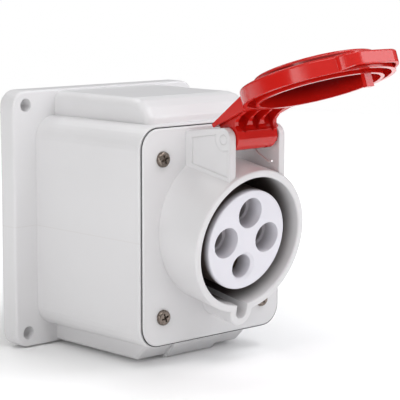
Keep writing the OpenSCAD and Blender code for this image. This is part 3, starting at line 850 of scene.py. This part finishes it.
@dataclass
class CoverPlate:
    """The cover plate with collar and hinge ears, its four screws and their inserts."""

    finishes: Finishes
    shank_radius: float = 1.65 * MM
    shank_length: float = 14.0 * MM
    head_radius: float = 3.2 * MM
    head_height: float = 1.7 * MM
    dome_share: float = 0.65
    dome_steps: int = 5
    crown: float = 0.12 * MM
    point_length: float = 0.5 * MM
    point_share: float = 0.7
    recess_width: float = 0.8 * MM
    recess_length: float = 3.7 * MM
    recess_depth: float = 1.0 * MM
    recess_turn: float = math.radians(20.0)
    thread_pitch: float = 0.7 * MM
    thread_depth: float = 0.1 * MM
    thread_start: float = 4.0 * MM
    thread_steps: int = 24
    thread_facets: int = 3
    sides: int = 40

    def head_places(self) -> list[Point]:
        """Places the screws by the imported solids' box.

        Returns:
            The centre of each screw under its head.
        """
        low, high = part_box("cover_screws")
        front = low[1] + self.head_height
        return [(x, front, z)
                for x in (low[0] + self.head_radius, high[0] - self.head_radius)
                for z in (low[2] + self.head_radius, high[2] - self.head_radius)]

    def screw_blank(self) -> bpy.types.Object:
        """Makes a screw with a cross recess and a plain shank.

        Returns:
            The screw, head up along Z, with the underside of its head at the origin.
        """
        edge = self.head_height * self.dome_share
        dome = arc((self.head_radius - edge, self.head_height - edge), edge, 0, 90,
                   self.dome_steps)
        profile = [(0.0, -self.shank_length),
                   (self.shank_radius * self.point_share, -self.shank_length),
                   (self.shank_radius, -self.shank_length + self.point_length),
                   (self.shank_radius, 0.0),
                   (self.head_radius, 0.0), *dome[:-1],
                   (self.head_radius - edge, self.head_height - self.crown),
                   (0.0, self.head_height)]
        blank = place_object("screw_blank", lathe(profile, self.sides))
        cutters = []
        for turn in range(2):
            work = bmesh.new()
            bmesh.ops.create_cube(work, size=1.0)
            bmesh.ops.scale(work, verts=work.verts,
                            vec=(self.recess_length, self.recess_width, 2 * self.recess_depth))
            bmesh.ops.rotate(work, verts=work.verts,
                             matrix=Matrix.Rotation(turn * math.pi / 2 + self.recess_turn, 3, "Z"))
            bmesh.ops.translate(work, verts=work.verts, vec=(0.0, 0.0, self.head_height))
            mesh = bpy.data.meshes.new("cutter")
            work.to_mesh(mesh)
            work.free()
            cutter = place_object("cutter", mesh)
            cut = blank.modifiers.new("recess", "BOOLEAN")
            cut.operation = "DIFFERENCE"
            cut.solver = "EXACT"
            cut.object = cutter
            cutters.append(cutter)
        depsgraph = bpy.context.evaluated_depsgraph_get()
        mesh = bpy.data.meshes.new_from_object(blank.evaluated_get(depsgraph), depsgraph=depsgraph)
        for spent in (blank, *cutters):
            bpy.data.objects.remove(spent)
        return place_object("screw_blank", mesh)

    def screws(self, material: bpy.types.Material) -> None:
        """Sets a threaded screw on each place.

        Args:
            material: The screws' finish.
        """
        blank = self.screw_blank()
        seed = bpy.data.meshes.new("places")
        seed.from_pydata(self.head_places(), [], [])
        recipe = Recipe("screws_on_places")
        turn = recipe.size("Turn to the front", (math.radians(90.0), 0.0, 0.0),
                           "NodeSocketVector")
        depth = recipe.size("Thread depth", self.thread_depth)
        radius = recipe.size("Shank radius", self.shank_radius)
        thread_turns = recipe.size("Thread turns", (self.shank_length - self.thread_start)
                                   / self.thread_pitch - 1.0)
        length = recipe.size("Thread length", self.shank_length - self.thread_start
                             - self.thread_pitch)
        helix = recipe.node("GeometryNodeCurveSpiral", None,
                            {"Resolution": self.thread_steps, "Rotations": thread_turns,
                             "Start Radius": radius, "End Radius": radius, "Height": length})
        profile = recipe.node("GeometryNodeCurvePrimitiveCircle", None,
                              {"Resolution": self.thread_facets, "Radius": depth})
        thread = recipe.node("GeometryNodeCurveToMesh", None,
                             {"Curve": helix, "Profile Curve": profile, "Fill Caps": True})
        lowered = recipe.node("GeometryNodeTransform", None,
                              {"Geometry": thread,
                               "Translation": (0.0, 0.0, self.point_length - self.shank_length)})
        shape = recipe.node("GeometryNodeObjectInfo", None, {"Object": blank}, "Geometry")
        whole = recipe.node("GeometryNodeJoinGeometry", None, {"Geometry": [shape, lowered]})
        spread = recipe.node("GeometryNodeInstanceOnPoints", None,
                             {"Points": recipe.seed(), "Instance": whole, "Rotation": turn})
        recipe.finish(spread, material)
        piece = recipe.cook(place_object("places", seed), "threaded_cover_screws")
        bpy.data.objects.remove(blank)
        smooth_by_angle(piece.data)
        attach(piece, Body.HOUSING.value)
        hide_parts("cover_screws")
        report(piece)

    def build(self) -> None:
        """Dresses the plate and makes its screws."""
        dress_nodes(("front_plate",), self.finishes.white.material())
        nickel = self.finishes.nickel.material()
        dress_nodes(("cover_screws",), nickel)
        dress_nodes(("threaded_inserts",), self.finishes.brass.material())
        self.screws(nickel)


@dataclass
class ContactInsert:
    """The round insert with its contacts, the ring and block behind it and their screws."""

    finishes: Finishes

    def build(self) -> None:
        """Dresses the insert and what it carries."""
        dress_nodes(("contact_carrier", "terminal_block"), self.finishes.insert.material())
        # The carrier ring's near-black is painted shade at the bottom of the plug gap.
        dress_nodes(("carrier_ring",), self.finishes.ring.material())
        dress_nodes(("carrier_screws", "block_screw", "terminal_screws"),
                    self.finishes.nickel.material())
        dress_nodes(("contact_l1", "contact_l2", "contact_l3", "contact_earth"),
                    self.finishes.brass.material())
        dress_nodes(("clip_l1", "clip_l2", "clip_l3", "clip_earth"),
                    self.finishes.spring.material())


@dataclass
class LidHinge:
    """The hinge pin with its covers and the coiled spring that shuts the lid."""

    finishes: Finishes
    coil_radius: float = 2.7 * MM
    wire_radius: float = 0.45 * MM
    wire_sides: int = 16
    coil_start: float = 6.2 * MM
    coil_end: float = 9.5 * MM
    turns: int = 3
    steps_per_turn: int = 40
    leg_angle: float = math.radians(127.04)
    moving_reach: float = 7.15 * MM
    moving_shares: tuple[float, ...] = (0.1, 0.5, 1.0)
    fixed_leg: tuple[tuple[float, float], ...] = ((5.7, -9.6), (4.1, -10.1), (-2.6, -6.9),
                                                  (-5.6, -3.4), (-5.5, 0.5))
    cover_radius: float = 2.015 * MM
    cover_thickness: float = 0.15 * MM
    cover_edge: float = 0.05 * MM
    cover_sides: int = 48

    def spring_path(self) -> list[Point]:
        """Lays out the fixed leg, the coil and the moving leg.

        Returns:
            Points of the wire's centre line.
        """
        lead = Vector(self.fixed_leg[-1]) * MM
        start = math.atan2(lead.y, lead.x) + math.acos(self.coil_radius / lead.length)
        start -= 2 * math.pi
        end = self.leg_angle - math.pi / 2 + self.turns * 2 * math.pi
        steps = self.steps_per_turn * self.turns
        coil = []
        for step in range(steps + 1):
            share = step / steps
            angle = start + (end - start) * share
            coil.append((self.coil_start + (self.coil_end - self.coil_start) * share,
                         self.coil_radius * math.cos(angle), self.coil_radius * math.sin(angle)))
        last = coil[-1]
        out = (math.cos(self.leg_angle), math.sin(self.leg_angle))
        legs = [(self.coil_start, forward * MM, up * MM) for forward, up in self.fixed_leg]
        tail = [(last[0], last[1] + share * self.moving_reach * out[0],
                 last[2] + share * self.moving_reach * out[1]) for share in self.moving_shares]
        return [(x, -PIN_OUT - forward, PIN_UP + up)
                for x, forward, up in legs + coil + tail]

    def spring(self, material: bpy.types.Material) -> None:
        """Sweeps the wire along its path.

        Args:
            material: The wire's finish.
        """
        piece = sweep(self.spring_path(), False, self.wire_radius, self.wire_sides, material,
                      "coiled_lid_spring")
        smooth_by_angle(piece.data, 50.0)
        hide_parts("lid_spring")
        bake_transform(piece)
        report(piece)

    def covers(self, material: bpy.types.Material) -> None:
        """Closes the pin's holes in the ears with flush discs.

        Args:
            material: The covers' finish.
        """
        low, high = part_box("hinge_pin")
        disc = place_object("disc", lathe(
            [(0.0, 0.0), (self.cover_radius, 0.0),
             (self.cover_radius, self.cover_thickness - self.cover_edge),
             (self.cover_radius - self.cover_edge, self.cover_thickness),
             (0.0, self.cover_thickness)], self.cover_sides))
        seed = bpy.data.meshes.new("pin_ends")
        seed.from_pydata([(high[0], -PIN_OUT, PIN_UP),
                          (low[0], -PIN_OUT, PIN_UP)], [], [])
        recipe = Recipe("covers_on_pin_ends")
        quarter = recipe.size("Quarter turn", math.radians(90.0))
        index = recipe.node("GeometryNodeInputIndex")
        turn = recipe.node("ShaderNodeCombineXYZ", None,
                           {"X": 0.0, "Y": quarter * (1.0 - 2.0 * index), "Z": 0.0})
        shape = recipe.node("GeometryNodeObjectInfo", None, {"Object": disc}, "Geometry")
        pair = recipe.node("GeometryNodeInstanceOnPoints", None,
                           {"Points": recipe.seed(), "Instance": shape, "Rotation": turn})
        recipe.finish(pair, material)
        piece = recipe.cook(place_object("pin_ends", seed), "hinge_pin_covers")
        bpy.data.objects.remove(disc)
        smooth_by_angle(piece.data)
        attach(piece, Body.HOUSING.value)
        report(piece)

    def build(self) -> None:
        """Dresses the pin and makes the spring and the covers."""
        dress_nodes(("hinge_pin",), self.finishes.nickel.material())
        steel = self.finishes.spring.material()
        dress_nodes(("lid_spring",), steel)
        self.spring(steel)
        self.covers(self.finishes.white.material())


@dataclass
class HingedLid:
    """The red lid."""

    finishes: Finishes

    def build(self) -> None:
        """Dresses the lid."""
        dress_nodes(("lid",), self.finishes.red.material())


# ---------------------------------------------------------------------------------------- studio


@dataclass(frozen=True)
class SoftBox:
    """One soft light, hung round the part and turned to it."""

    name: str
    azimuth: float
    elevation: float
    size: tuple[float, float]
    power: float
    colour: tuple[float, float, float] = (1.0, 1.0, 1.0)
    distance: float = 1.1
    aim: Point = (0.0, -0.06, 0.01)

    def place(self) -> Vector:
        """Works out the light's place; azimuth 0 is in front of the part, 90 to its right.

        Returns:
            The place in metres.
        """
        turn, rise = math.radians(self.azimuth), math.radians(self.elevation)
        away = Vector((math.sin(turn) * math.cos(rise), -math.cos(turn) * math.cos(rise),
                       math.sin(rise)))
        return Vector(self.aim) + self.distance * away

    def build(self) -> None:
        """Adds the light."""
        data = bpy.data.lights.new(self.name, "AREA")
        data.shape = "RECTANGLE"
        data.size, data.size_y = self.size
        data.energy = self.power
        data.color = self.colour
        made = bpy.data.objects.new(self.name, data)
        bpy.context.scene.collection.objects.link(made)
        made.location = self.place()
        look = Vector(self.aim) - made.location
        made.rotation_euler = look.to_track_quat("-Z", "Y").to_euler()


@dataclass
class Studio:
    """Floor, lights and camera."""

    target: Point = (0.02674, -0.040, 0.00498)
    eye: Point = (-0.46897, -0.56786, 0.10921)
    lens: float = 149.84
    sensor: float = 36.0
    roll: float = math.radians(0.073)
    floor_z: float = -0.0556
    sky: tuple[tuple[float, float], ...] = ((0.5, 0.12), (0.56, 0.12), (0.65, 0.5), (0.75, 0.5),
                                            (0.85, 0.0))
    boxes: tuple[SoftBox, ...] = (
        SoftBox("left", -69.0, 11.0, (0.5, 0.26), 1.8),
        SoftBox("upper left", -84.0, 48.0, (0.75, 0.5), 0.8),
        SoftBox("over the camera", -43.0, 55.0, (0.6, 0.4), 2.9),
        SoftBox("upper front", 0.0, 50.0, (0.5, 0.5), 1.6),
        SoftBox("right front", 48.0, 27.0, (0.5, 0.55), 2.8, (0.95, 0.96, 1.0)),
        SoftBox("upper right front", 48.0, 62.0, (0.6, 0.4), 4.0, (0.96, 0.97, 1.0)),
        SoftBox("behind", 180.0, 55.0, (0.7, 0.5), 3.1),
    )
    floor_colour: Colour = (0.98, 0.98, 0.98, 1.0)
    floor_reach: float = 0.9
    floor_near: float = 0.03
    floor_far: float = 0.42
    floor_glow: float = 0.6

    def camera(self) -> None:
        """Puts the camera at the viewing angle."""
        data = bpy.data.cameras.new("camera")
        data.lens = self.lens
        data.sensor_width = self.sensor
        data.clip_start = 0.01
        data.clip_end = 50.0
        made = bpy.data.objects.new("camera", data)
        bpy.context.scene.collection.objects.link(made)
        look = Vector(self.target) - Vector(self.eye)
        turn = look.to_track_quat("-Z", "Y") @ Quaternion((0.0, 0.0, 1.0), self.roll)
        made.matrix_world = Matrix.Translation(self.eye) @ turn.to_matrix().to_4x4()
        bpy.context.scene.camera = made

    def surround(self) -> None:
        """Sky that is brightest a little above the horizon; white where it is seen directly."""
        world = bpy.data.worlds.new("surround")
        world.use_nodes = True
        bpy.context.scene.world = world
        graph = Graph(world.node_tree)
        direction = graph.node("ShaderNodeTexCoord", output="Generated")
        height = graph.node("ShaderNodeSeparateXYZ", None, {0: direction}, "Z")
        stops = [(place, (level, level, level, 1.0)) for place, level in self.sky]
        level = graph.node("ShaderNodeValToRGB", {"stops": stops}, {"Fac": 0.5 + 0.5 * height})
        seen = graph.node("ShaderNodeLightPath", output="Is Camera Ray")
        lit = graph.node("ShaderNodeBackground", None, {"Color": level, "Strength": 1.0})
        white = graph.node("ShaderNodeBackground", None, {"Color": WHITE, "Strength": 1.0})
        both = graph.node("ShaderNodeMixShader", None, {0: seen, 1: lit, 2: white})
        graph.node("ShaderNodeOutputWorld", None, {"Surface": both})
        bpy.context.scene.view_settings.view_transform = "Standard"

    def floor(self) -> None:
        """A pale floor that glows as painted light, from none by the part to full further out."""
        shade = Shade("pale_floor")
        away = shade.node("ShaderNodeVectorMath", {"operation": "LENGTH"}, {0: shade.position()},
                          "Value")
        # Painted light: emission that grows with distance from the part, so the floor reads white
        # out there.
        glow = shade.step(away, self.floor_near, self.floor_far) * self.floor_glow
        shader = shade.node("ShaderNodeBsdfPrincipled", None,
                            {"Base Color": self.floor_colour, "Roughness": 0.9,
                             "Specular IOR Level": 0.2,
                             "Emission Color": shade.mix(glow, BLACK, WHITE),
                             "Emission Strength": 1.0})
        mesh = bpy.data.meshes.new("floor")
        reach = self.floor_reach
        corners = [(-reach, -reach), (reach, -reach), (reach, reach), (-reach, reach)]
        mesh.from_pydata([(x, y, self.floor_z) for x, y in corners], [], [(0, 1, 2, 3)])
        made = place_object("floor", mesh)
        dress(made, shade.surface(shader))

    def build(self) -> None:
        """Builds the whole studio."""
        self.camera()
        self.surround()
        for box in self.boxes:
            box.build()
        self.floor()
        LOG.info("studio: %d soft boxes", len(self.boxes))


def main() -> None:
    """Builds and dresses every sub-assembly in order, then the studio."""
    logging.basicConfig(level=logging.INFO, format="%(message)s")
    finishes = Finishes()
    for part in (WallHousing(finishes), CoverPlate(finishes), ContactInsert(finishes),
                 LidHinge(finishes), HingedLid(finishes), Studio()):
        part.build()


if __name__ == "__main__":
    main()
